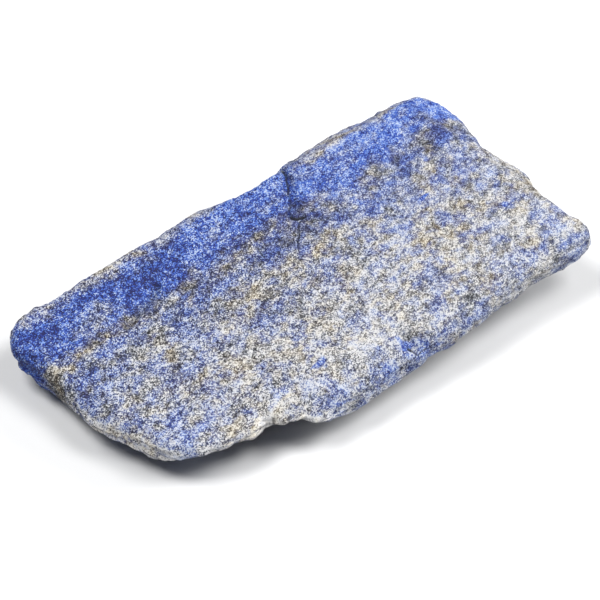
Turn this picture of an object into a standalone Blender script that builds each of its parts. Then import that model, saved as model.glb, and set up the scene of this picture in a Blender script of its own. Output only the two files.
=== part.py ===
"""Rough lapis lazuli: one flat, worn chunk of rock that rests on a small flat spot.

+X runs along the stone's long way and +Y towards the far long side of its top face.
The origin is the middle of the bottom of the stone's box.
The tables are in millimetres, and the mesh is in metres.
"""

import math
import random

import bmesh
import bpy
from mathutils import Matrix, Vector, noise

MM = 0.001
NAME = "lapis_stone"

# Driving sizes, in millimetres
LENGTH = 101.5
WIDTH = 54.0
HEIGHT = 18.5
BLOCK_HEIGHT = 26.0
TOP_HEIGHT = 14.0
TOP_RISE_X = 0.085
TOP_RISE_Y = 0.060
REST_DEPTH = 0.15
WORN_UNDER = 2.0

# Mesh sizes
SCULPT_STEP = 0.85
WEAR_PASSES = 7
TRIANGLES = 8600

# The rim seen from above, clockwise from the near right corner
RIM = (
    (50.8, -23.8), (50.3, -25.6), (47.9, -26.3), (39.8, -26.3), (26.8, -26.1), (18.8, -27.2),
    (12.2, -26.6), (7.2, -26.4), (-4.3, -26.2), (-10.0, -25.3), (-14.8, -25.3), (-18.4, -24.2),
    (-21.0, -22.0), (-23.0, -19.5), (-25.2, -20.1), (-29.4, -20.7), (-34.3, -19.8), (-39.3, -16.5),
    (-42.4, -10.9), (-46.0, -4.5),
    (-48.4, 3.7), (-48.3, 11.2), (-49.8, 17.8), (-50.7, 21.6), (-49.2, 25.0), (-46.5, 26.6),
    (-38.6, 26.0), (-22.6, 26.3), (-9.4, 26.0), (-4.8, 25.9), (-1.0, 24.1), (4.5, 22.2),
    (15.3, 23.5), (23.2, 24.3), (32.4, 22.9), (41.6, 21.3), (46.2, 19.9), (48.4, 16.9),
    (49.0, 8.2), (47.6, 3.6), (48.2, -1.5), (50.1, -6.8), (49.1, -12.2), (49.9, -20.2),
)

# Worn bevels round the top face: the way each faces, where it starts and how steeply it falls
TOP_BEVELS = (
    (-90, 21.0, 24),
    (-90, 23.6, 46),
    (-98, 23.0, 32),
    (-135, 37.5, 34),
    (-165, 42.8, 22),
    (140, 52.0, 30),
    (84, 22.6, 34),
    (40, 46.4, 28),
    (8, 43.8, 26),
    (8, 47.4, 48),
    (-45, 51.5, 30),
)

# Broken faces of the underside: the way each faces, where it leaves the floor, how steeply it climbs
UNDER_BREAKS = (
    (-82, 14.4, 29),
    (-98, 15.5, 28),
    (-110, 19.8, 40),
    (-135, 33.0, 42),
    (-165, 38.4, 38),
    (142, 43.0, 34),
    (86, 18.5, 45),
    (72, 21.5, 38),
    (30, 35.0, 36),
    (-5, 32.5, 29),
    (-44, 36.0, 31),
    (-100, 7.0, 7),
    (170, 13.0, 5),
    (80, 10.0, 8),
    (5, 24.0, 6),
)

# Hollows broken out under the rim: middle and half sizes
HOLLOWS = (
    ((-20.0, -24.6, 0.0), (9.6, 8.2, 9.4)),
    ((-37.0, -19.5, 0.0), (9.0, 7.0, 7.6)),
)

# Natural lumps: how far apart and how high
LUMPS = ((24.0, 0.80), (10.0, 0.55), (4.5, 0.28))
TOP_SHARE = 0.40
LEDGE_STEP = 3.6
LEDGE_DEPTH = 0.55

# Clefts in the top face: half width, depth, and the line each follows
CLEFTS = (
    (0.75, 0.95, ((12.7, 23.0), (12.0, 19.0), (11.0, 17.0), (9.4, 14.8), (8.6, 12.6))),
    (0.55, 0.45, ((8.0, 11.0), (6.6, 8.1), (4.8, 6.3))),
    (0.55, 0.45, ((-1.6, 11.6), (-1.8, 9.2))),
    (0.75, 1.00, ((7.6, -22.0), (7.9, -23.4), (8.1, -24.8))),
    (0.60, 0.50, ((8.1, -24.8), (10.8, -25.6))),
)

# Scoops and pits: place, radius and depth
SCOOPS = (
    ((8.8, 12.4), 2.0, 0.95),
    ((-29.5, 14.0), 4.6, 0.60),
    ((-24.5, 8.5), 5.5, 0.45),
    ((-33.0, 6.0), 3.0, 0.45),
    ((-19.5, -20.5), 3.0, 0.45),
    ((-6.2, -19.4), 1.4, 0.45),
    ((-25.8, -8.1), 1.5, 0.40),
    ((24.0, 6.0), 9.0, 0.40),
    ((34.0, -2.0), 4.0, 0.35),
)

# Steps across the top face: the edge's line, the drop on its right, and how far the drop reaches
STEPS = (
    ((-21.3, 19.0), (-21.6, 11.0), 0.40, 5.0),
    ((-34.0, 11.5), (-27.0, 15.8), 0.45, 6.0),
    ((30.0, 12.5), (46.0, 9.0), 0.35, 5.0),
    ((-14.0, -15.0), (6.0, -18.5), 0.30, 4.0),
)

STEP_RUN = 1.6

# Pits scattered over the sides and the underside, each as deep as a share of its radius
PIT_SEED = 7
PIT_COUNT = 60
PIT_RADIUS = (1.6, 4.6)
PIT_DEPTH = 0.17
PIT_WAVER = 1.5

# Lapis body colour, seen from a step away
BODY_COLOUR = (0.34, 0.36, 0.47, 1.0)
BODY_ROUGHNESS = 0.75


def clear_scene():
    """Remove every object of the start-up scene."""
    for obj in list(bpy.data.objects):
        bpy.data.objects.remove(obj, do_unlink=True)


def facing(degrees):
    """The level unit vector that points the given way round."""
    angle = math.radians(degrees)
    return Vector((math.cos(angle), math.sin(angle), 0.0))


def smooth_step(value):
    """An S-curve from 0 to 1."""
    value = min(max(value, 0.0), 1.0)
    return value * value * (3.0 - 2.0 * value)


def rim_block(collection):
    """The rim's outline as a straight-sided block, taller than the stone."""
    curve = bpy.data.curves.new("rim", "CURVE")
    curve.dimensions = "2D"
    curve.fill_mode = "BOTH"
    curve.extrude = BLOCK_HEIGHT / 2 * MM
    curve.resolution_u = 6
    spline = curve.splines.new("BEZIER")
    spline.bezier_points.add(len(RIM) - 1)
    spline.use_cyclic_u = True
    for point, (x, y) in zip(spline.bezier_points, RIM):
        point.co = (x * MM, y * MM, 0.0)
        point.handle_left_type = "AUTO"
        point.handle_right_type = "AUTO"
    rim = bpy.data.objects.new("rim", curve)
    rim.location.z = BLOCK_HEIGHT / 2 * MM
    collection.objects.link(rim)

    depsgraph = bpy.context.evaluated_depsgraph_get()
    mesh = bpy.data.meshes.new_from_object(rim.evaluated_get(depsgraph))
    mesh.name = NAME
    stone = bpy.data.objects.new(NAME, mesh)
    stone.matrix_world = rim.matrix_world
    collection.objects.link(stone)
    bpy.data.objects.remove(rim)

    bm = bmesh.new()
    bm.from_mesh(mesh)
    bmesh.ops.remove_doubles(bm, verts=bm.verts, dist=0.01 * MM)
    bmesh.ops.translate(bm, verts=bm.verts, vec=(0.0, 0.0, BLOCK_HEIGHT / 2 * MM))
    bm.to_mesh(mesh)
    bm.free()
    stone.matrix_world.identity()
    return stone


def cut_away(bm, point, normal):
    """Cut off what lies beyond a plane, and close the cut."""
    bmesh.ops.bisect_plane(
        bm, geom=bm.verts[:] + bm.edges[:] + bm.faces[:], plane_co=point, plane_no=normal, clear_outer=True
    )
    open_edges = [edge for edge in bm.edges if edge.is_boundary]
    bmesh.ops.holes_fill(bm, edges=open_edges)


def break_faces(stone):
    """Trim the block to the tilted top face, its bevels and the broken underside."""
    bm = bmesh.new()
    bm.from_mesh(stone.data)
    top_point = Vector((0.0, 0.0, TOP_HEIGHT * MM))
    cut_away(bm, top_point, Vector((-TOP_RISE_X, -TOP_RISE_Y, 1.0)))
    for degrees, start, fall in TOP_BEVELS:
        way = facing(degrees)
        rise_x = TOP_RISE_X - math.tan(math.radians(fall)) * way.x
        rise_y = TOP_RISE_Y - math.tan(math.radians(fall)) * way.y
        crease = way * start
        crease.z = TOP_HEIGHT + TOP_RISE_X * crease.x + TOP_RISE_Y * crease.y
        cut_away(bm, crease * MM, Vector((-rise_x, -rise_y, 1.0)))
    for degrees, start, climb in UNDER_BREAKS:
        way = facing(degrees)
        slope = math.tan(math.radians(climb))
        cut_away(bm, way * start * MM, Vector((slope * way.x, slope * way.y, -1.0)))
    bm.to_mesh(stone.data)
    bm.free()


def apply_modifiers(stone):
    """Keep the shape that the modifiers make, and drop the modifiers."""
    depsgraph = bpy.context.evaluated_depsgraph_get()
    mesh = bpy.data.meshes.new_from_object(stone.evaluated_get(depsgraph))
    stone.modifiers.clear()
    rough_mesh = stone.data
    stone.data = mesh
    bpy.data.meshes.remove(rough_mesh)
    mesh.name = NAME


def hollow_under(stone, collection):
    """Break the hollows out of the underside."""
    bm = bmesh.new()
    for middle, half in HOLLOWS:
        place = Matrix.LocRotScale(Vector(middle) * MM, None, Vector(half) * MM)
        bmesh.ops.create_icosphere(bm, subdivisions=4, radius=1.0, matrix=place)
    mesh = bpy.data.meshes.new("hollows")
    bm.to_mesh(mesh)
    bm.free()
    hollows = bpy.data.objects.new("hollows", mesh)
    collection.objects.link(hollows)
    cut = stone.modifiers.new("hollows", "BOOLEAN")
    cut.operation = "DIFFERENCE"
    cut.object = hollows
    apply_modifiers(stone)
    bpy.data.objects.remove(hollows)
    bpy.data.meshes.remove(mesh)


def wear_edges(stone):
    """Give the block an even mesh and wear its edges round."""
    remesh = stone.modifiers.new("even_mesh", "REMESH")
    remesh.mode = "VOXEL"
    remesh.voxel_size = SCULPT_STEP * MM
    wear = stone.modifiers.new("wear", "SMOOTH")
    wear.factor = 0.5
    wear.iterations = WEAR_PASSES
    apply_modifiers(stone)


def distance_to_line(point, start, end):
    """The distance in plan from a point to a stretch, and the side it is on: right is positive."""
    along = Vector(end) - Vector(start)
    offset = point - Vector(start)
    share = min(max(offset.dot(along) / along.length_squared, 0.0), 1.0)
    side = offset.x * along.y - offset.y * along.x
    return (offset - along * share).length, side


def lump_height(place, normal):
    """Lumps all over, flatter on the top face, with ledges along the sides."""
    height = 0.0
    for layer, (size, rise) in enumerate(LUMPS):
        height += rise * noise.noise(place / size + Vector((3.7 * layer, 1.3, 8.1)))
    upward = smooth_step((normal.z - 0.5) / 0.4)
    height *= 1.0 - (1.0 - TOP_SHARE) * upward
    waver = 1.6 * noise.noise(place / 14.0)
    level = (place.z + 0.12 * place.x + waver) / LEDGE_STEP
    tread = level - math.floor(level)
    level_way = 1.0 - abs(normal.z)
    return height - LEDGE_DEPTH * level_way * smooth_step(tread / 0.35) * (1.0 - tread)


def top_marks(place):
    """The depth of the clefts, scoops and steps at a place on the top face."""
    plan = place.to_2d()
    depth = 0.0
    for half_width, cleft_depth, line in CLEFTS:
        nearest = min(distance_to_line(plan, a, b)[0] for a, b in zip(line, line[1:]))
        depth = max(depth, cleft_depth * (1.0 - smooth_step(nearest / (2.0 * half_width))))
    for centre, radius, scoop_depth in SCOOPS:
        share = (plan - Vector(centre)).length / radius
        depth += scoop_depth * (1.0 - smooth_step(share))
    for start, end, drop, reach in STEPS:
        away, side = distance_to_line(plan, start, end)
        if side > 0.0:
            depth += drop * smooth_step(away / STEP_RUN) * (1.0 - smooth_step(away / reach))
    return depth


def scattered_pits(bm):
    """Places for pits on the sides and the underside, with their radii."""
    dice = random.Random(PIT_SEED)
    lower = [vert for vert in bm.verts if vert.normal.z < 0.35]
    pits = []
    for _ in range(PIT_COUNT):
        vert = lower[dice.randrange(len(lower))]
        pits.append((vert.co / MM, dice.uniform(*PIT_RADIUS)))
    return pits


def sculpt(stone):
    """Raise the lumps and ledges, and sink the clefts, scoops, steps and pits."""
    bm = bmesh.new()
    bm.from_mesh(stone.data)
    bm.normal_update()
    pits = scattered_pits(bm)
    moves = []
    for vert in bm.verts:
        place = vert.co / MM
        height = lump_height(place, vert.normal)
        if vert.normal.z > 0.25:
            height -= top_marks(place)
        ragged = place + PIT_WAVER * noise.noise_vector(place / 3.0)
        for centre, radius in pits:
            share = (ragged - centre).length / radius
            if share < 1.0:
                height -= PIT_DEPTH * radius * (1.0 - smooth_step(share))
        height *= smooth_step((place.z - REST_DEPTH) / WORN_UNDER)
        moves.append(vert.normal * height * MM)
    for vert, move in zip(bm.verts, moves):
        vert.co += move
    bm.to_mesh(stone.data)
    bm.free()


def thin_mesh(stone):
    """Bring the mesh down to the number of triangles that its shape needs."""
    decimate = stone.modifiers.new("thin", "DECIMATE")
    faces = sum(len(face.vertices) - 2 for face in stone.data.polygons)
    decimate.ratio = TRIANGLES / faces
    decimate.use_collapse_triangulate = True
    apply_modifiers(stone)


def rest_on_spot(stone):
    """Flatten the small spot that the stone rests on, and put the origin under its middle."""
    bm = bmesh.new()
    bm.from_mesh(stone.data)
    lowest = min(vert.co.z for vert in bm.verts)
    cut_away(bm, Vector((0.0, 0.0, lowest + REST_DEPTH * MM)), Vector((0.0, 0.0, -1.0)))
    low = Vector([min(vert.co[axis] for vert in bm.verts) for axis in range(3)])
    high = Vector([max(vert.co[axis] for vert in bm.verts) for axis in range(3)])
    middle = (low + high) / 2
    bmesh.ops.translate(bm, verts=bm.verts, vec=(-middle.x, -middle.y, -low.z))
    size = high - low
    fit = (LENGTH * MM / size.x, WIDTH * MM / size.y, HEIGHT * MM / size.z)
    bmesh.ops.scale(bm, verts=bm.verts, vec=fit)
    bmesh.ops.triangulate(bm, faces=bm.faces)
    bm.to_mesh(stone.data)
    bm.free()


def stone_material():
    """A matt blue-grey for the whole stone."""
    material = bpy.data.materials.new("lapis")
    material.use_nodes = True
    shader = material.node_tree.nodes["Principled BSDF"]
    shader.inputs["Base Color"].default_value = BODY_COLOUR
    shader.inputs["Roughness"].default_value = BODY_ROUGHNESS
    shader.inputs["Metallic"].default_value = 0.0
    return material


def build():
    """Make the stone in a collection of its own."""
    clear_scene()
    collection = bpy.data.collections.new("rough_lapis_lazuli")
    bpy.context.scene.collection.children.link(collection)
    stone = rim_block(collection)
    break_faces(stone)
    hollow_under(stone, collection)
    wear_edges(stone)
    sculpt(stone)
    thin_mesh(stone)
    rest_on_spot(stone)
    stone.data.materials.append(stone_material())
    stone.data.shade_smooth()
    stone.data.set_sharp_from_angle(angle=math.radians(40))
    return stone


build()
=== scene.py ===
"""Rough lapis lazuli: a worn chunk of banded blue, white and grey rock.

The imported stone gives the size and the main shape. A copy of it gets a fine, even mesh, softened
facets, layered sides, crumbled edges, worn grain and the sharper marks of the top face. It is then
dressed in banded rock, whose grains pick their colours by the bed and the patch they lie in.
Sizes are in millimetres unless a docstring says otherwise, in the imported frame: +X along the
stone, +Y to the far long side, +Z up.
"""

import logging
import math
from dataclasses import dataclass, field
from enum import Enum
from typing import Union

import bpy
import numpy as np
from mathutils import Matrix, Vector, noise


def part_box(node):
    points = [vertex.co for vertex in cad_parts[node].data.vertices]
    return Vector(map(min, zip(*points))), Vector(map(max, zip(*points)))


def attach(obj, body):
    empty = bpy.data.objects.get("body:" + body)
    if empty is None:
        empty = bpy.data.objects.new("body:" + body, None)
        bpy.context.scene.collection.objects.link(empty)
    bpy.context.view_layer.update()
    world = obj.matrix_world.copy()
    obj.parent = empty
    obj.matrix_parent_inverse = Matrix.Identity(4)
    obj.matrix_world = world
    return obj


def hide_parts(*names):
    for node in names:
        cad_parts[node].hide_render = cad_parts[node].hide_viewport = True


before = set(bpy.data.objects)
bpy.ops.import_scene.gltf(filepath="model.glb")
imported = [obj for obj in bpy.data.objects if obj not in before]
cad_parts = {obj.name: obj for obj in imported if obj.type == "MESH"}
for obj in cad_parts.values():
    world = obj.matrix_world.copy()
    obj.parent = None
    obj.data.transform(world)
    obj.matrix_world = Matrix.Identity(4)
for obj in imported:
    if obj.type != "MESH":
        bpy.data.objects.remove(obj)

MM = 0.001
Point = tuple[float, float]
Place = tuple[float, float, float]
Colour = tuple[float, float, float]
Socket = bpy.types.NodeSocket
Value = Union[Socket, float, tuple[float, ...]]
SEED_WAY: Place = (1.0, 0.7, -0.4)

log = logging.getLogger("lapis")


class Facing(Enum):
    """The parts of the stone that a mark may be cut into.

    Each gives how far up the surface faces where the mark starts and where it is whole. That runs
    from -1, straight down, to 1, straight up, so ALL is whole everywhere.
    """

    TOP = (0.35, 0.75)
    SIDES = (0.85, 0.45)
    ALL = (-2.0, -1.5)


@dataclass(frozen=True)
class Crack:
    """A crack in the top face: its line, half its width, its depth and how dark its painted shade
    is.
    """

    line: tuple[Point, ...]
    half_width: float
    depth: float
    dark: float = 0.85

    def away(self, plan: np.ndarray) -> np.ndarray:
        """Measure how far points are from the crack's line.

        Args:
            plan: The points in plan, one row each.

        Returns:
            One distance for each point.
        """
        nearest = np.full(len(plan), np.inf)
        for start, end in zip(self.line, self.line[1:]):
            a, b = np.array(start), np.array(end)
            share = np.clip((plan - a) @ (b - a) / ((b - a) @ (b - a)), 0.0, 1.0)
            distance = np.linalg.norm(plan - a - share[:, None] * (b - a), axis=1)
            nearest = np.minimum(nearest, distance)
        return nearest


@dataclass(frozen=True)
class Pit:
    """A pit in the top face: its middle, its radius and its depth."""

    place: Point
    radius: float
    depth: float

    def away(self, plan: np.ndarray) -> np.ndarray:
        """How far points in plan are from the pit's middle."""
        return np.linalg.norm(plan - np.array(self.place), axis=1)


@dataclass(frozen=True)
class Lumps:
    """Smooth unevenness: how far apart its lumps are, how far they reach, and their seed."""

    size: float
    reach: float
    seed: float

    def at(self, points: np.ndarray) -> np.ndarray:
        """How the lumps stand at each point, from about -1 to 1."""
        shift = Vector([self.seed * way for way in SEED_WAY])
        return np.array([noise.noise(Vector(point) / self.size + shift) for point in points])


@dataclass(frozen=True)
class Band:
    """Where a bed of the rock crosses the stone, and how blue, light and tan it is."""

    across: float
    blue: float
    light: float
    tan: float


@dataclass(frozen=True)
class Patch:
    """A patch of the rock that differs from its bed: middle, reach and what it adds."""

    place: Point
    reach: Point
    blue: float = 0.0
    light: float = 0.0
    tan: float = 0.0


def paint(red: float, green: float, blue: float) -> Colour:
    """Turn a colour as a screen shows it, from 0 to 255, into linear light."""
    shares = (red / 255, green / 255, blue / 255)
    return tuple(s / 12.92 if s <= 0.04045 else ((s + 0.055) / 1.055) ** 2.4 for s in shares)


def ease(value: np.ndarray, low: float, high: float) -> np.ndarray:
    """An S-curve from 0 at low to 1 at high."""
    share = np.clip((value - low) / (high - low), 0.0, 1.0)
    return share * share * (3.0 - 2.0 * share)


def only(thing: bpy.types.Object) -> None:
    """Deselect everything, then select one object and make it the active one.

    Args:
        thing: The object to work on.
    """
    bpy.ops.object.select_all(action="DESELECT")
    thing.select_set(True)
    bpy.context.view_layer.objects.active = thing


class NodeBench:
    """Adds and joins the nodes of one node tree."""

    def __init__(self, tree: bpy.types.NodeTree) -> None:
        """Work on one tree."""
        self.tree = tree

    @classmethod
    def group(cls, name: str, takes: dict[str, str], gives: dict[str, str]) -> "NodeBench":
        """Start a node group.

        Args:
            name: The group's name.
            takes: The name and kind of each input.
            gives: The name and kind of each output.

        Returns:
            A bench for the inside of the group.
        """
        tree = bpy.data.node_groups.new(name, "ShaderNodeTree")
        for way, sockets in (("INPUT", takes), ("OUTPUT", gives)):
            for label, kind in sockets.items():
                tree.interface.new_socket(label, in_out=way, socket_type="NodeSocket" + kind)
        return cls(tree)

    def add(self, kind: str, **settings: object) -> bpy.types.Node:
        """Add a node.

        Args:
            kind: Blender's name for the node's type.
            settings: The properties to set on it.

        Returns:
            The node.
        """
        node = self.tree.nodes.new(kind)
        for name, value in settings.items():
            setattr(node, name, value)
        return node

    def feed(self, socket: Socket, value: Value) -> None:
        """Join a socket to another one, or set its value.

        Args:
            socket: The input to feed.
            value: An output to join it to, or the value itself.
        """
        if isinstance(value, Socket):
            self.tree.links.new(value, socket)
        else:
            socket.default_value = value

    def use(self, tree: bpy.types.NodeTree, **given: Value) -> bpy.types.Node:
        """Add a node group and feed its inputs.

        Args:
            tree: The group's own tree.
            given: What each input takes, by its name.

        Returns:
            The group's node.
        """
        node = self.add("ShaderNodeGroup", node_tree=tree)
        for name, value in given.items():
            self.feed(node.inputs[name], value)
        return node

    def math(self, operation: str, *values: Value, clamp: bool = False) -> Socket:
        """Work out one number from others.

        Args:
            operation: What to work out.
            values: The numbers, in the order the operation takes them.
            clamp: Whether to keep the result from 0 to 1.

        Returns:
            The result.
        """
        node = self.add("ShaderNodeMath", operation=operation, use_clamp=clamp)
        for socket, value in zip(node.inputs, values):
            self.feed(socket, value)
        return node.outputs[0]

    def vector(self, operation: str, *values: Value) -> Socket:
        """Work out a vector, a length or a dot product from vectors.

        Args:
            operation: What to work out.
            values: The vectors, in the order the operation takes them.

        Returns:
            The result.
        """
        node = self.add("ShaderNodeVectorMath", operation=operation)
        for socket, value in zip(node.inputs, values):
            self.feed(socket, value)
        return node.outputs["Value"] if operation in ("LENGTH", "DOT_PRODUCT") else node.outputs[0]

    def scaled(self, value: Value, factor: Value) -> Socket:
        """Multiply a vector by a number.

        Args:
            value: The vector.
            factor: The number.

        Returns:
            The longer or shorter vector.
        """
        node = self.add("ShaderNodeVectorMath", operation="SCALE")
        self.feed(node.inputs[0], value)
        self.feed(node.inputs["Scale"], factor)
        return node.outputs[0]

    def swing(self, value: Value, width: float, middle: float = 0.0) -> Socket:
        """Stretch a number that runs from 0 to 1 to the given width about a middle."""
        return self.math("MULTIPLY_ADD", value, width, middle - width / 2)

    def noise(
        self, place: Value, size: float, detail: float = 2.0, roughness: float = 0.5
    ) -> bpy.types.Node:
        """Smooth noise in space.

        Args:
            place: Where it is read.
            size: How far apart its lumps are.
            detail: How many finer octaves it has.
            roughness: How strong each of those is against the one before.

        Returns:
            The node, with one number as its Fac and three as its Color.
        """
        node = self.add("ShaderNodeTexNoise")
        self.feed(node.inputs["Vector"], place)
        node.inputs["Scale"].default_value = 1.0 / size
        node.inputs["Detail"].default_value = detail
        node.inputs["Roughness"].default_value = roughness
        return node

    def wobble(self, place: Value, size: float, detail: float = 2.0) -> Socket:
        """Noise along all three axes, each about -0.5 to 0.5."""
        node = self.noise(place, size, detail)
        return self.vector("SUBTRACT", node.outputs["Color"], (0.5, 0.5, 0.5))

    def sway(self, place: Value, *stages: Point) -> Socket:
        """Move a place about by noise, so that what is drawn there has uneven edges.

        Args:
            place: The place.
            stages: The size of each noise, and how far it moves the place.

        Returns:
            The moved place.
        """
        for size, reach in stages:
            place = self.vector("ADD", place, self.scaled(self.wobble(place, size), reach))
        return place

    def cells(self, place: Value, size: float) -> bpy.types.Node:
        """Grains, each with its own three random numbers.

        Args:
            place: Where they are read.
            size: How large a grain is.

        Returns:
            The node, with the numbers as its Color.
        """
        node = self.add("ShaderNodeTexVoronoi")
        self.feed(node.inputs["Vector"], place)
        node.inputs["Scale"].default_value = 1.0 / size
        return node

    def split(self, value: Value) -> list[Socket]:
        """Take a vector apart.

        Args:
            value: The vector.

        Returns:
            Its three numbers.
        """
        node = self.add("ShaderNodeSeparateXYZ")
        self.feed(node.inputs[0], value)
        return list(node.outputs)

    def flat(self, x: Value, y: Value) -> Socket:
        """Put a place in plan together.

        Args:
            x: How far along the stone it is.
            y: How far across the stone it is.

        Returns:
            The place, at no height.
        """
        node = self.add("ShaderNodeCombineXYZ")
        self.feed(node.inputs["X"], x)
        self.feed(node.inputs["Y"], y)
        return node.outputs[0]

    def mark(self, name: str) -> Socket:
        """A value that the piece's own mesh carries."""
        return self.add("ShaderNodeAttribute", attribute_name=name).outputs["Fac"]

    def ease(self, value: Value, low: float, high: float) -> Socket:
        """An S-curve.

        Args:
            value: The number that it reads.
            low: Where it is 0.
            high: Where it is 1.

        Returns:
            The curve's height.
        """
        node = self.add("ShaderNodeMapRange", interpolation_type="SMOOTHSTEP")
        self.feed(node.inputs["Value"], value)
        node.inputs["From Min"].default_value = low
        node.inputs["From Max"].default_value = high
        return node.outputs["Result"]

    def blend(self, share: Value, low: Value, high: Value) -> Socket:
        """Go from one colour or vector to another.

        Args:
            share: How far to go, from 0 to 1.
            low: The one at 0.
            high: The one at 1.

        Returns:
            The mixture.
        """
        node = self.add("ShaderNodeMix", data_type="RGBA")
        for name, value in (("Factor_Float", share), ("A_Color", low), ("B_Color", high)):
            socket = next(s for s in node.inputs if s.identifier == name)
            self.feed(socket, (*value, 1.0) if isinstance(value, tuple) else value)
        return next(s for s in node.outputs if s.identifier == "Result_Color")

    def ramp(self, value: Value, stops: list[tuple[float, Colour]]) -> Socket:
        """A colour that changes with a number.

        Args:
            value: The number.
            stops: The values that have a colour of their own, and those colours.

        Returns:
            The colour.
        """
        node = self.add("ShaderNodeValToRGB")
        self.feed(node.inputs["Fac"], value)
        elements = node.color_ramp.elements
        while len(elements) < len(stops):
            elements.new(1.0)
        for element, (position, colour) in zip(elements, stops):
            element.position = position
            element.color = (*colour, 1.0)
        return node.outputs["Color"]


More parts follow.
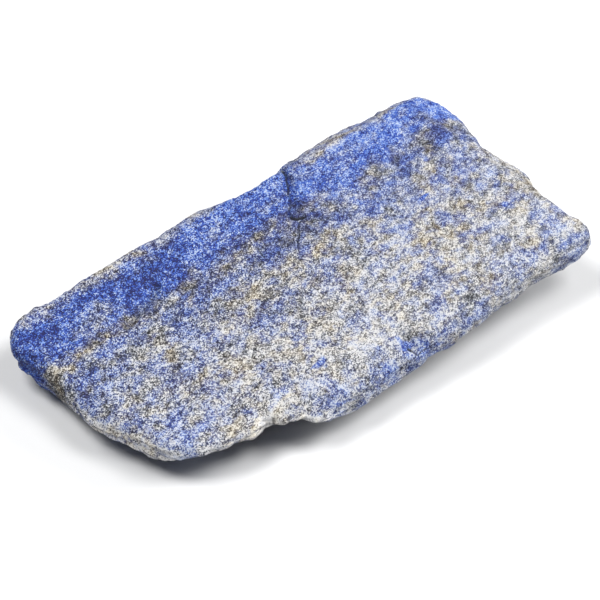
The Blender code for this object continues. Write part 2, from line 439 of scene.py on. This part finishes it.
@dataclass(frozen=True)
class BandedRock:
    """Lapis rock: beds that run along the stone, seen on a worn, matt, sugary break.

    Blue, light and tan are shares, and past 1 they stay whole in spite of the noise. A turn is the
    pair of values where a change starts and ends. A sway is the size of a noise and its reach.
    """

    cracks: tuple[Crack, ...] = ()
    tone: float = 0.51
    blues: tuple[Colour, ...] = (
        (6, 15, 88), (20, 46, 148), (52, 96, 206), (120, 160, 242), (208, 224, 255),
    )
    greys: tuple[Colour, ...] = (
        (15, 16, 23), (69, 72, 81), (128, 131, 139), (189, 191, 197), (252, 251, 252),
    )
    tans: tuple[Colour, ...] = (
        (26, 19, 12), (92, 76, 56), (150, 136, 112), (206, 194, 170), (255, 247, 228),
    )
    # The colour of the painted shade along the cracks.
    crack_shade_colour: Colour = (14, 17, 34)

    grain: float = 0.21
    grain_swing: float = 0.94
    clump: float = 0.90
    clump_sway: Point = (0.5, 0.5)
    clump_swing: float = 0.16
    clump_blue: float = 0.18
    clump_tan: float = -0.20
    speckle: float = 1.2
    speckle_detail: float = 4.0
    speckle_roughness: float = 0.9
    speckle_swing: float = 1.16
    crisp_turn: Point = (45.0, -30.0)
    crisp_least: float = 0.76
    crisp_gain: float = 0.40
    # Painted shade at the seams between the grains.
    gap_turn: Point = (0.50, 0.85)
    seam_painted_shade: float = -0.16

    # The rim mark: pale worn grain, and painted light that lifts the shaded wall under the near
    # rim.
    rim_spot_size: float = 2.2
    rim_spot_turn: Point = (0.25, 0.55)
    rim_pale_and_lit: float = 0.42
    rim_blue: float = -0.32
    rim_painted_light: float = 0.55

    bump: float = 0.11
    bump_strength: float = 0.7
    roughness: float = 0.70
    roughness_swing: float = 0.24
    shine: float = 0.4

    crack_sways: tuple[Point, ...] = ((2.6, 0.9), (0.9, 0.7))
    crack_turn: Point = (1.3, 0.4)
    crack_height: Point = (5.5, 8.0)
    broken: float = 1.3
    broken_turn: Point = (0.40, 0.56)
    faint: float = 0.65

    drift_detail: float = 1.0
    drifts: tuple[tuple[float, Place], ...] = (
        (5.0, (1.10, 0.42, 1.20)),
        (2.2, (1.45, 0.68, 1.60)),
        (0.9, (0.50, 0.62, 0.50)),
    )
    blue_of_bed: float = 0.65
    blue_anywhere: float = 0.42
    no_limit: float = 9.0

    width: float = 60.0
    bed_sways: tuple[Point, ...] = ((8.0, 6.0), (2.2, 2.8))
    bed_dip: float = 0.30
    bed_level: float = 14.0
    bed_stretch: float = 0.84
    left_turn: Point = (-20.0, -9.0)
    right_turn: Point = (9.0, 19.0)
    left_beds: tuple[Band, ...] = (
        Band(-26.0, 0.15, 0.74, 0.15),
        Band(-19.0, 0.15, 0.72, 0.25),
        Band(-14.0, 0.25, 0.64, 0.15),
        Band(-7.0, 0.22, 0.64, 0.25),
        Band(-2.0, 0.32, 0.60, 0.12),
        Band(3.0, 0.24, 0.64, 0.12),
        Band(8.0, 0.44, 0.44, 0.06),
        Band(11.0, 0.42, 0.48, 0.05),
        Band(12.0, 0.16, 0.43, 0.46),
        Band(14.9, 0.94, 0.36, 0.00),
        Band(21.8, 1.10, 0.33, 0.00),
        Band(24.6, 0.32, 0.60, 0.42),
    )
    middle_beds: tuple[Band, ...] = (
        Band(-26.5, 0.56, 0.58, 0.00),
        Band(-23.0, 0.40, 0.66, 0.00),
        Band(-21.0, 0.20, 0.78, 0.12),
        Band(-17.5, 0.10, 0.75, 0.28),
        Band(-8.0, 0.14, 0.67, 0.26),
        Band(-1.5, 0.26, 0.57, 0.15),
        Band(3.2, 0.14, 0.63, 0.40),
        Band(6.8, 0.46, 0.42, 0.10),
        Band(9.0, 0.42, 0.38, 0.14),
        Band(11.6, 0.24, 0.46, 0.44),
        Band(15.2, 0.96, 0.48, 0.00),
        Band(21.2, 1.12, 0.53, 0.00),
        Band(23.6, 0.38, 0.61, 0.35),
    )
    right_beds: tuple[Band, ...] = (
        Band(-26.5, 0.32, 0.61, 0.00),
        Band(-23.5, 0.17, 0.70, 0.14),
        Band(-22.0, 0.18, 0.73, 0.25),
        Band(-10.0, 0.10, 0.68, 0.34),
        Band(-3.5, 0.28, 0.69, 0.15),
        Band(2.0, 0.24, 0.61, 0.22),
        Band(5.0, 0.54, 0.51, 0.00),
        Band(7.2, 0.45, 0.52, 0.05),
        Band(9.0, 0.28, 0.51, 0.36),
        Band(11.4, 0.92, 0.56, 0.00),
        Band(17.2, 1.02, 0.60, 0.00),
        Band(19.2, 0.32, 0.63, 0.45),
    )
    patch_turn: Point = (1.4, 0.5)
    patches: tuple[Patch, ...] = (
        Patch((-36.5, 17.5), (4.0, 2.8), blue=-0.32, light=0.18),
        Patch((-33.5, 6.5), (3.2, 3.2), blue=-0.22, light=0.09),
        Patch((-27.6, 10.0), (3.2, 2.6), blue=-0.20, light=0.18),
        Patch((-49.0, 10.5), (3.0, 2.6), light=-0.12, tan=0.10),
        Patch((-48.9, 11.4), (2.2, 3.6), blue=-0.50, light=0.05, tan=0.05),
        # Painted shade beside the ledge by the pit, with a brown tint.
        Patch((-31.0, 13.4), (2.2, 1.1), blue=-0.20, light=-0.12, tan=0.30),
        Patch((6.0, 1.9), (2.6, 1.6), blue=-0.20, light=-0.07, tan=0.55),
        Patch((-29.4, 2.2), (1.6, 1.2), blue=-0.20, light=-0.08, tan=0.55),
        Patch((-6.4, 3.4), (3.0, 1.3), blue=-0.10, light=0.11, tan=0.20),
        Patch((-18.4, 0.6), (2.4, 1.3), blue=-0.15, light=0.11, tan=0.15),
        Patch((-23.5, -8.0), (6.0, 4.8), blue=-0.15, light=0.07, tan=0.26),
        Patch((-36.0, -11.0), (6.5, 3.8), blue=0.20, light=0.06, tan=-0.20),
        Patch((-46.5, 22.5), (4.5, 3.2), blue=0.60, light=-0.08, tan=-0.40),
        Patch((-24.5, 19.0), (5.5, 4.5), light=-0.06),
        Patch((0.0, -18.4), (3.2, 2.2), blue=-0.10, light=0.18, tan=0.24),
        Patch((-22.0, -18.0), (11.0, 2.4), blue=-0.10, light=0.08, tan=0.12),
        Patch((29.6, -1.3), (0.9, 0.6), blue=0.90, light=-0.12),
        Patch((-8.4, -16.8), (1.2, 0.7), blue=0.80, light=-0.16),
        Patch((40.6, -12.8), (1.0, 0.7), blue=0.70, light=-0.12),
        Patch((6.6, -21.8), (0.9, 1.2), blue=0.60, light=-0.14),
        Patch((47.0, 0.0), (2.6, 14.0), blue=-0.20, light=0.05, tan=0.12),
    )

    def toned(self, colour: Colour) -> Colour:
        """A colour of the rock as the photograph shows it, toned for the studio's light."""
        return tuple(self.tone * part for part in paint(*colour))

    def beds(self, bench: NodeBench, across: Value, beds: tuple[Band, ...]) -> Socket:
        """How blue, light and tan the rock is across one stretch of the stone."""
        stops = [(0.5 + bed.across / self.width, (bed.blue, bed.light, bed.tan)) for bed in beds]
        return bench.ramp(across, stops)

    def patch_group(self) -> bpy.types.NodeTree:
        """Make the group that adds one patch to the beds.

        Returns:
            The group's tree.
        """
        names = ("rock", "place", "middle", "reach", "adds")
        bench = NodeBench.group("rock_patch", dict.fromkeys(names, "Vector"), {"rock": "Vector"})
        given = bench.add("NodeGroupInput").outputs
        away = bench.vector("SUBTRACT", given["place"], given["middle"])
        away = bench.vector("MULTIPLY", away, given["reach"])
        near = bench.ease(bench.vector("LENGTH", away), *self.patch_turn)
        total = bench.vector("ADD", given["rock"], bench.scaled(given["adds"], near))
        bench.feed(bench.add("NodeGroupOutput").inputs["rock"], total)
        return bench.tree

    def crack_shade_group(self) -> bpy.types.NodeTree:
        """Make the group that paints shade along one straight stretch of a crack.

        Returns:
            The group's tree.
        """
        takes = {"dark": "Float", "place": "Vector", "start": "Vector", "along": "Vector",
                 "half_width": "Float", "darkest": "Float"}
        bench = NodeBench.group("crack_shade_stretch", takes, {"dark": "Float"})
        given = bench.add("NodeGroupInput").outputs
        offset = bench.vector("SUBTRACT", given["place"], given["start"])
        reach = bench.vector("DOT_PRODUCT", offset, given["along"])
        length = bench.vector("DOT_PRODUCT", given["along"], given["along"])
        share = bench.math("DIVIDE", reach, length, clamp=True)
        away = bench.vector("SUBTRACT", offset, bench.scaled(given["along"], share))
        away = bench.math("DIVIDE", bench.vector("LENGTH", away), given["half_width"])
        own = bench.math("MULTIPLY", bench.ease(away, *self.crack_turn), given["darkest"])
        total = bench.math("MAXIMUM", given["dark"], own)
        bench.feed(bench.add("NodeGroupOutput").inputs["dark"], total)
        return bench.tree

    def paint_crack_shade(self, bench: NodeBench, place: Value) -> Socket:
        """Paint shade along the cracks of the top face, here and there fainter.

        Args:
            bench: The material's bench.
            place: The place on the stone.

        Returns:
            How dark the painted shade is there.
        """
        x, y, z = bench.split(bench.sway(place, *self.crack_sways))
        plan = bench.flat(x, y)
        group = self.crack_shade_group()
        dark: Value = 0.0
        for crack in self.cracks:
            for start, end in zip(crack.line, crack.line[1:]):
                along = (end[0] - start[0], end[1] - start[1], 0.0)
                node = bench.use(group, dark=dark, place=plan, start=(*start, 0.0), along=along,
                                 half_width=crack.half_width, darkest=crack.dark)
                dark = node.outputs["dark"]
        broken = bench.ease(bench.noise(place, self.broken).outputs["Fac"], *self.broken_turn)
        strength = bench.math("MULTIPLY_ADD", broken, 1.0 - self.faint, self.faint)
        dark = bench.math("MULTIPLY", dark, strength)
        return bench.math("MULTIPLY", dark, bench.ease(z, *self.crack_height))

    def rock(self, bench: NodeBench, place: Value) -> Socket:
        """Lay the beds through the stone, and the patches on them.

        Args:
            bench: The material's bench.
            place: The place on the stone.

        Returns:
            How blue, light and tan the rock is there.
        """
        x, y, z = bench.split(bench.sway(place, *self.bed_sways))
        lean = bench.math("MULTIPLY_ADD", z, -self.bed_dip, self.bed_dip * self.bed_level)
        y = bench.math("ADD", y, lean)
        across = bench.math("MULTIPLY_ADD", y, 1.0 / self.width, 0.5)
        left = self.beds(bench, across, self.left_beds)
        middle = self.beds(bench, across, self.middle_beds)
        right = self.beds(bench, across, self.right_beds)
        total = bench.blend(bench.ease(x, *self.left_turn), left, middle)
        total = bench.blend(bench.ease(x, *self.right_turn), total, right)
        plan = bench.flat(x, y)
        group = self.patch_group()
        for patch in self.patches:
            reach = (1.0 / patch.reach[0], 1.0 / patch.reach[1], 0.0)
            node = bench.use(group, rock=total, place=plan, middle=(*patch.place, 0.0), reach=reach,
                             adds=(patch.blue, patch.light, patch.tan))
            total = node.outputs["rock"]
        return total

    def drift(self, bench: NodeBench, place: Value, rock: Value) -> Socket:
        """Let the rock wander from its beds, blue only so far where the bed is not blue.

        Args:
            bench: The material's bench.
            place: The place on the stone.
            rock: How blue, light and tan the beds are there.

        Returns:
            The same three for the grains.
        """
        total = rock
        place = bench.vector("MULTIPLY", place, (self.bed_stretch, 1.0, 1.0))
        for size, width in self.drifts:
            step = bench.wobble(place, size, self.drift_detail)
            total = bench.vector("ADD", total, bench.vector("MULTIPLY", step, width))
        limit = (self.blue_anywhere, self.no_limit, self.no_limit)
        limit = bench.vector("MULTIPLY_ADD", rock, (self.blue_of_bed, 0.0, 0.0), limit)
        return bench.vector("MINIMUM", total, limit)

    def speckled(
        self, bench: NodeBench, place: Value, light: Value, shade: Value, clump_shade: Value
    ) -> Socket:
        """Make the grains lighter and darker than their bed, more so towards the left end.

        Args:
            bench: The material's bench.
            place: The place on the stone.
            light: How light the bed is there.
            shade: The random number of the grain there.
            clump_shade: The random number of the clump there.

        Returns:
            How light the grain is.
        """
        salt = bench.noise(place, self.speckle, self.speckle_detail, self.speckle_roughness)
        total = bench.swing(shade, self.grain_swing)
        total = bench.math("ADD", total, bench.swing(clump_shade, self.clump_swing))
        total = bench.math("ADD", total, bench.swing(salt.outputs["Fac"], self.speckle_swing))
        left = bench.ease(bench.split(place)[0], *self.crisp_turn)
        crisp = bench.math("MULTIPLY_ADD", left, self.crisp_gain, self.crisp_least)
        return bench.math("MULTIPLY_ADD", total, crisp, light)

    def mineral(self, bench: NodeBench, light: Value, colours: tuple[Colour, ...]) -> Socket:
        """The grains of one mineral, from its darkest colour to its lightest."""
        stops = [(i / (len(colours) - 1), self.toned(colour)) for i, colour in enumerate(colours)]
        return bench.ramp(light, stops)

    def colour(self, bench: NodeBench, place: Value, shade: Value, gap: Value) -> Socket:
        """Colour the grains by beds and worn rim; paint light on the rim, shade in cracks and
        seams.

        Args:
            bench: The material's bench.
            place: The place on the stone.
            shade: The random number of the grain there.
            gap: How far from the grain's middle the place is.

        Returns:
            The colour.
        """
        blue, light, tan = bench.split(self.drift(bench, place, self.rock(bench, place)))
        clumps = bench.cells(bench.sway(place, self.clump_sway), self.clump)
        clump_shade, clump_tint, _ = bench.split(clumps.outputs["Color"])
        # The rim is partly pale worn grain and partly painted light on its shaded wall.
        worn_and_lit_spots = bench.ease(bench.noise(place, self.rim_spot_size).outputs["Fac"], *self.rim_spot_turn)
        rim = bench.math("MULTIPLY", bench.mark("rim"), worn_and_lit_spots)

        light = self.speckled(bench, place, light, shade, clump_shade)
        light = bench.math("MULTIPLY_ADD", rim, self.rim_pale_and_lit, light)
        # Painted shade darkens the seams between the grains.
        seam_shade = bench.ease(gap, *self.gap_turn)
        light = bench.math("MULTIPLY_ADD", seam_shade, self.seam_painted_shade, light, clamp=True)
        blue = bench.math("ADD", blue, bench.swing(clump_tint, self.clump_blue))
        blue = bench.math("MULTIPLY_ADD", rim, self.rim_blue, blue, clamp=True)
        tan = bench.math("ADD", tan, bench.swing(clump_tint, self.clump_tan), clamp=True)

        grey = self.mineral(bench, light, self.greys)
        colour = bench.blend(tan, grey, self.mineral(bench, light, self.tans))
        colour = bench.blend(blue, colour, self.mineral(bench, light, self.blues))
        # Painted light: the rim is brightened past the rock's own colour to lift its shaded wall.
        glow = bench.math("MULTIPLY_ADD", rim, self.rim_painted_light, 1.0)
        colour = bench.vector("MULTIPLY", colour, glow)
        # Painted shade along the cracks and the crease.
        return bench.blend(self.paint_crack_shade(bench, place), colour, self.toned(self.crack_shade_colour))

    def surface(self, bench: NodeBench, shade: Value, gap: Value) -> Socket:
        """Raise each grain to its own height.

        Args:
            bench: The material's bench.
            shade: The random number of the grain.
            gap: How far from the grain's middle the place is.

        Returns:
            The surface's normal.
        """
        bump = bench.add("ShaderNodeBump")
        bump.inputs["Strength"].default_value = self.bump_strength
        bump.inputs["Distance"].default_value = self.bump * MM
        bench.feed(bump.inputs["Height"], bench.math("MULTIPLY_ADD", gap, -1.0, shade))
        return bump.outputs["Normal"]

    def make(self) -> bpy.types.Material:
        """Build the finish.

        Returns:
            The material.
        """
        material = bpy.data.materials.new("banded_lapis")
        material.use_nodes = True
        bench = NodeBench(material.node_tree)
        shader = material.node_tree.nodes["Principled BSDF"]
        place = bench.scaled(bench.add("ShaderNodeTexCoord").outputs["Object"], 1.0 / MM)
        grains = bench.cells(place, self.grain)
        shade, _, gloss = bench.split(grains.outputs["Color"])
        gap = grains.outputs["Distance"]
        bench.feed(shader.inputs["Base Color"], self.colour(bench, place, shade, gap))
        bench.feed(shader.inputs["Normal"], self.surface(bench, shade, gap))
        roughness = bench.swing(gloss, self.roughness_swing, self.roughness)
        bench.feed(shader.inputs["Roughness"], roughness)
        shader.inputs["Specular IOR Level"].default_value = self.shine
        return material


@dataclass(frozen=True)
class WhiteSheet:
    """The matt white sheet that the stone lies on."""

    tone: float = 0.60
    roughness: float = 0.9
    shine: float = 0.1

    def make(self) -> bpy.types.Material:
        """Build the finish.

        Returns:
            The material.
        """
        material = bpy.data.materials.new("white_sheet")
        material.use_nodes = True
        shader = material.node_tree.nodes["Principled BSDF"]
        shader.inputs["Base Color"].default_value = (self.tone, self.tone, self.tone, 1.0)
        shader.inputs["Roughness"].default_value = self.roughness
        shader.inputs["Specular IOR Level"].default_value = self.shine
        return material


@dataclass
class LapisStone:
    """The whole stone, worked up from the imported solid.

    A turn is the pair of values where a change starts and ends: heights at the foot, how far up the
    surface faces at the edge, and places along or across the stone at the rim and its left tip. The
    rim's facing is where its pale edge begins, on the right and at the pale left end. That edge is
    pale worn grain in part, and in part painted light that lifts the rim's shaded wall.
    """

    node: str = "lapis_stone"
    slot: str = "lapis"
    name: str = "lapis_chunk"
    same_spot: float = 0.01
    mesh_step: float = 0.38
    soften_share: float = 0.5
    soften_passes: int = 6
    foot_turn: Point = (0.15, 0.9)
    least_press: float = 0.001

    ledge_height: float = 1.7
    ledge_depth: float = 0.38
    ledge_lip: float = 0.25
    ledge_slope: float = 0.10
    ledge_sway: Lumps = Lumps(9.0, 0.9, 5.3)

    edge_turn: Point = (0.97, 0.80)
    crumbs: tuple[Point, ...] = ((4.4, 0.24), (1.5, 0.10))
    crumb_seam: float = 0.55

    wear: tuple[Lumps, ...] = (
        Lumps(4.2, 0.34, 3.1),
        Lumps(1.15, 0.22, 7.7),
        Lumps(0.62, 0.14, 1.9),
    )

    waver: tuple[Lumps, Lumps] = (Lumps(1.3, 0.35, 2.2), Lumps(1.3, 0.35, 9.4))
    # Cracks cut into the top face; the material also paints shade along each of them.
    cracks: tuple[Crack, ...] = (
        Crack(((12.9, 22.4), (12.4, 20.1), (10.7, 17.2), (8.7, 14.4), (7.7, 12.7)), 0.24, 0.35),
        Crack(((7.7, 12.7), (7.4, 11.5), (8.8, 10.6)), 0.52, 0.65, 1.00),
        Crack(((7.9, 10.2), (7.0, 9.3), (5.3, 7.4), (3.6, 5.4)), 0.18, 0.25),
        Crack(((-2.0, 10.4), (-2.2, 9.2), (-2.4, 7.8)), 0.18, 0.20),
        Crack(((-22.5, -0.4), (-20.5, -1.7)), 0.15, 0.15),
        Crack(((7.0, -23.6), (7.8, -25.3)), 0.34, 0.50, 0.95),
        Crack(((7.8, -25.3), (9.8, -25.2)), 0.24, 0.35),
        Crack(((-22.3, -20.4), (-22.0, -20.2)), 0.30, 0.40, 0.90),
        Crack(((-19.8, -21.8), (-19.5, -21.9)), 0.34, 0.45, 0.90),
        Crack(((-17.2, -21.0), (-16.6, -21.1)), 0.26, 0.35, 0.85),
        Crack(((-14.6, -21.2), (-14.2, -21.0)), 0.24, 0.30, 0.85),
        Crack(((-24.0, -20.6), (-23.4, -20.9)), 0.28, 0.35, 0.80),
        # A wide soft crease; the shade painted along it stands for the shadow beside a low ridge.
        Crack(((-21.7, 15.5), (-24.7, 14.0), (-28.0, 13.3), (-31.3, 12.0)), 0.90, 0.45, 0.40),
    )
    pits: tuple[Pit, ...] = (
        Pit((-21.8, -20.9), 0.9, 0.55),
        Pit((-18.7, -22.0), 0.7, 0.45),
        Pit((-22.6, -19.4), 0.8, 0.45),
        Pit((-25.8, -8.1), 0.9, 0.40),
        Pit((-6.2, -19.4), 0.9, 0.40),
        Pit((-30.5, 12.8), 1.3, 0.45),
    )

    rim_facing: Point = (0.45, 0.80)
    rim_fade: float = 0.35
    rim_across_turn: Point = (-6.0, -14.0)
    pale_along_turn: Point = (-4.0, -14.0)
    pale_least: float = 0.35
    tip_along_turn: Point = (-26.0, -36.0)
    tip_across_turn: Point = (12.0, 2.0)
    tip_share: float = 0.85
    piece: bpy.types.Object = field(init=False)

    def copy_solid(self) -> None:
        """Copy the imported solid's mesh, and merge the copy's loose triangles."""
        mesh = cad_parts[self.node].data.copy()
        mesh.materials.clear()
        self.piece = bpy.data.objects.new(self.name, mesh)
        bpy.context.scene.collection.objects.link(self.piece)
        only(self.piece)
        bpy.ops.object.mode_set(mode="EDIT")
        bpy.ops.mesh.select_all(action="SELECT")
        bpy.ops.mesh.customdata_custom_splitnormals_clear()
        bpy.ops.mesh.remove_doubles(threshold=self.same_spot * MM)
        bpy.ops.mesh.normals_make_consistent(inside=False)
        bpy.ops.object.mode_set(mode="OBJECT")

    def apply(self, kind: str, **settings: object) -> None:
        """Add a modifier to the stone and apply it.

        Args:
            kind: Blender's name for the modifier's type.
            settings: The properties to set on it.
        """
        modifier = self.piece.modifiers.new(kind.lower(), kind)
        for name, value in settings.items():
            setattr(modifier, name, value)
        only(self.piece)
        bpy.ops.object.modifier_apply(modifier=modifier.name)

    def read(self, what: str) -> np.ndarray:
        """Read three numbers from each vertex.

        Args:
            what: Blender's name for them.

        Returns:
            One row for each vertex.
        """
        flat = np.zeros(len(self.piece.data.vertices) * 3)
        self.piece.data.vertices.foreach_get(what, flat)
        return flat.reshape(-1, 3)

    def points(self) -> np.ndarray:
        """The vertices' places."""
        return self.read("co") / MM

    def upward(self) -> np.ndarray:
        """How far each vertex faces up, from -1 to 1."""
        return self.read("normal")[:, 2]

    def reach(self, where: Facing) -> np.ndarray:
        """The share of a mark that each vertex takes, nothing at the foot it rests on."""
        return ease(self.points()[:, 2], *self.foot_turn) * ease(self.upward(), *where.value)

    def press(self, weights: np.ndarray, depth: float) -> None:
        """Press the surface in.

        Args:
            weights: The share of the depth that each vertex takes.
            depth: How far in it goes; a negative depth raises it.
        """
        group = self.piece.vertex_groups.new(name="pressed")
        for index in np.flatnonzero(weights > self.least_press):
            group.add([int(index)], float(weights[index]), "REPLACE")
        self.apply("DISPLACE", direction="NORMAL", mid_level=0.0, strength=-depth * MM,
                   vertex_group=group.name)
        self.piece.vertex_groups.clear()

    def soften(self) -> None:
        """Give the copy a fine even mesh and take its facets off."""
        self.apply("REMESH", mode="VOXEL", voxel_size=self.mesh_step * MM)
        self.apply("SMOOTH", factor=self.soften_share, iterations=self.soften_passes)

    def layer_sides(self) -> None:
        """Cut the shallow ledges of the bedding into the sides."""
        points = self.points()
        sway = self.ledge_sway.reach * self.ledge_sway.at(points)
        level = points[:, 2] + self.ledge_slope * points[:, 0] + sway
        tread = np.mod(level / self.ledge_height, 1.0)
        groove = ease(tread, 0.0, self.ledge_lip) * (1.0 - tread)
        self.press(self.reach(Facing.SIDES) * groove, self.ledge_depth)

    def crumble_edges(self) -> None:
        """Break the worn edges into crumbs and small flat chips."""
        points = self.points()
        edge = ease(self.upward(), *self.edge_turn) * self.reach(Facing.ALL)
        for size, depth in self.crumbs:
            seams = np.array([noise.voronoi(Vector(point) / size)[0][:2] for point in points])
            self.press(edge * ease(seams[:, 1] - seams[:, 0], self.crumb_seam, 0.0), depth)

    def wear_grain(self) -> None:
        """Raise the worn lumps, grains and crumbs that cover the stone."""
        points = self.points()
        everywhere = self.reach(Facing.ALL)
        for lumps in self.wear:
            self.press(everywhere * (0.5 + 0.5 * lumps.at(points)), -lumps.reach)

    def cut_marks(self) -> None:
        """Open the cracks and pits of the top face."""
        points = self.points()
        steps = [lumps.reach * lumps.at(points) for lumps in self.waver]
        plan = points[:, :2] + np.stack(steps, axis=1)
        top = self.reach(Facing.TOP)
        for crack in self.cracks:
            cut = 1.0 - ease(crack.away(plan), 0.0, crack.half_width + self.mesh_step)
            self.press(top * cut, crack.depth)
        for pit in self.pits:
            cut = 1.0 - ease(pit.away(plan), 0.0, pit.radius)
            self.press(top * cut, pit.depth)

    def note_pale_lit_rim(self) -> None:
        """Mark the near rim, which the colour makes pale as worn grain and lifts with painted
        light.
        """
        points = self.points()
        upward = self.upward()
        pale_end = ease(points[:, 0], *self.pale_along_turn)
        facing_right, facing_left = self.rim_facing
        facing = facing_right + (facing_left - facing_right) * pale_end
        edge = ease(upward - facing, 0.0, -self.rim_fade) * ease(upward, -self.rim_fade, 0.0)
        near = ease(points[:, 1], *self.rim_across_turn)
        near *= self.pale_least + (1.0 - self.pale_least) * pale_end
        tip = ease(points[:, 0], *self.tip_along_turn) * ease(points[:, 1], *self.tip_across_turn)
        near = np.maximum(near, self.tip_share * tip)
        rim = self.piece.data.attributes.new("rim", "FLOAT", "POINT")
        rim.data.foreach_set("value", (edge * near).astype(np.float32))

    def fit_box(self) -> None:
        """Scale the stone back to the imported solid's box."""
        low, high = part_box(self.node)
        points = self.points() * MM
        own_low, own_high = Vector(points.min(axis=0)), Vector(points.max(axis=0))
        scale = [(high[i] - low[i]) / (own_high[i] - own_low[i]) for i in range(3)]
        middle = (own_low + own_high) / 2
        shift = (low + high) / 2 - middle
        only(self.piece)
        bpy.ops.object.mode_set(mode="EDIT")
        bpy.ops.mesh.select_all(action="SELECT")
        bpy.ops.transform.resize(value=scale, center_override=middle)
        bpy.ops.transform.translate(value=shift)
        bpy.ops.object.mode_set(mode="OBJECT")

    def build(self) -> bpy.types.Object:
        """Make the stone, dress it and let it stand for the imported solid.

        Returns:
            The finished piece.
        """
        self.copy_solid()
        self.soften()
        self.layer_sides()
        self.crumble_edges()
        self.wear_grain()
        self.cut_marks()
        self.note_pale_lit_rim()
        self.fit_box()
        self.piece.data.materials.append(BandedRock(cracks=self.cracks).make())
        only(self.piece)
        bpy.ops.object.shade_smooth()
        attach(self.piece, "root")
        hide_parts(self.node)
        return self.piece


@dataclass(frozen=True)
class SoftBox:
    """A soft studio light: where it stands and its width, in metres, and its power in watts."""

    name: str
    place: Place
    width: float
    power: float


@dataclass
class Studio:
    """A white floor under soft lights, in metres."""

    floor_half: float = 1.5
    sky: float = 0.10
    sky_tint: Colour = (0.74, 0.82, 1.0)
    boxes: tuple[SoftBox, ...] = (
        SoftBox("left_box", (-0.236, 0.185, 0.70), 0.30, 5.9),
        SoftBox("right_box", (0.276, -0.216, 0.70), 0.30, 4.6),
        SoftBox("low_box", (0.556, -0.231, 0.36), 0.26, 4.1),
    )
    aim: Place = (0.0, 0.0, 0.008)

    def lay_floor(self) -> None:
        """Lay the floor that the stone rests on."""
        bpy.ops.object.select_all(action="DESELECT")
        bpy.ops.mesh.primitive_plane_add(size=2 * self.floor_half, location=(0.0, 0.0, 0.0))
        floor = bpy.context.object
        floor.name = "studio_floor"
        floor.data.materials.append(WhiteSheet().make())

    def hang_lights(self) -> None:
        """Hang the soft boxes, each turned to the stone."""
        for box in self.boxes:
            light = bpy.data.lights.new(box.name, "AREA")
            light.shape = "SQUARE"
            light.size = box.width
            light.energy = box.power
            lamp = bpy.data.objects.new(box.name, light)
            lamp.location = box.place
            towards = Vector(self.aim) - Vector(box.place)
            lamp.rotation_euler = towards.to_track_quat("-Z", "Y").to_euler()
            bpy.context.scene.collection.objects.link(lamp)

    def fill_sky(self) -> None:
        """Fill the room with even, faintly cool light."""
        world = bpy.data.worlds.new("white_room")
        world.use_nodes = True
        background = world.node_tree.nodes["Background"]
        background.inputs["Color"].default_value = (*self.sky_tint, 1.0)
        background.inputs["Strength"].default_value = self.sky
        bpy.context.scene.world = world

    def build(self) -> None:
        """Set up the floor and the light."""
        self.lay_floor()
        self.hang_lights()
        self.fill_sky()
        bpy.context.scene.view_settings.view_transform = "Standard"


@dataclass(frozen=True)
class PhotoCamera:
    """The camera: where it looks from, in degrees and millimetres."""

    target: Place = (-3.06, -3.79, 13.5)
    azimuth: float = -38.0
    elevation: float = 52.0
    distance: float = 520.0
    lens: float = 167.4
    sensor: float = 36.0

    def build(self) -> None:
        """Place the camera and make it the scene's."""
        turn, rise = math.radians(self.azimuth), math.radians(self.elevation)
        level = math.cos(rise)
        back = Vector((math.sin(turn) * level, -math.cos(turn) * level, math.sin(rise)))
        data = bpy.data.cameras.new("photo_camera")
        data.lens = self.lens
        data.sensor_width = self.sensor
        camera = bpy.data.objects.new("photo_camera", data)
        camera.location = (Vector(self.target) + back * self.distance) * MM
        camera.rotation_euler = (-back).to_track_quat("-Z", "Y").to_euler()
        bpy.context.scene.collection.objects.link(camera)
        bpy.context.scene.camera = camera


def main() -> None:
    """Build the stone, the studio and the camera, and log the stone's face count."""
    logging.basicConfig(level=logging.INFO, format="%(message)s")
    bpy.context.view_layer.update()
    PhotoCamera().build()
    stone = LapisStone().build()
    log.info("%s: %d faces", stone.name, len(stone.data.polygons))
    Studio().build()


if __name__ == "__main__":
    main()
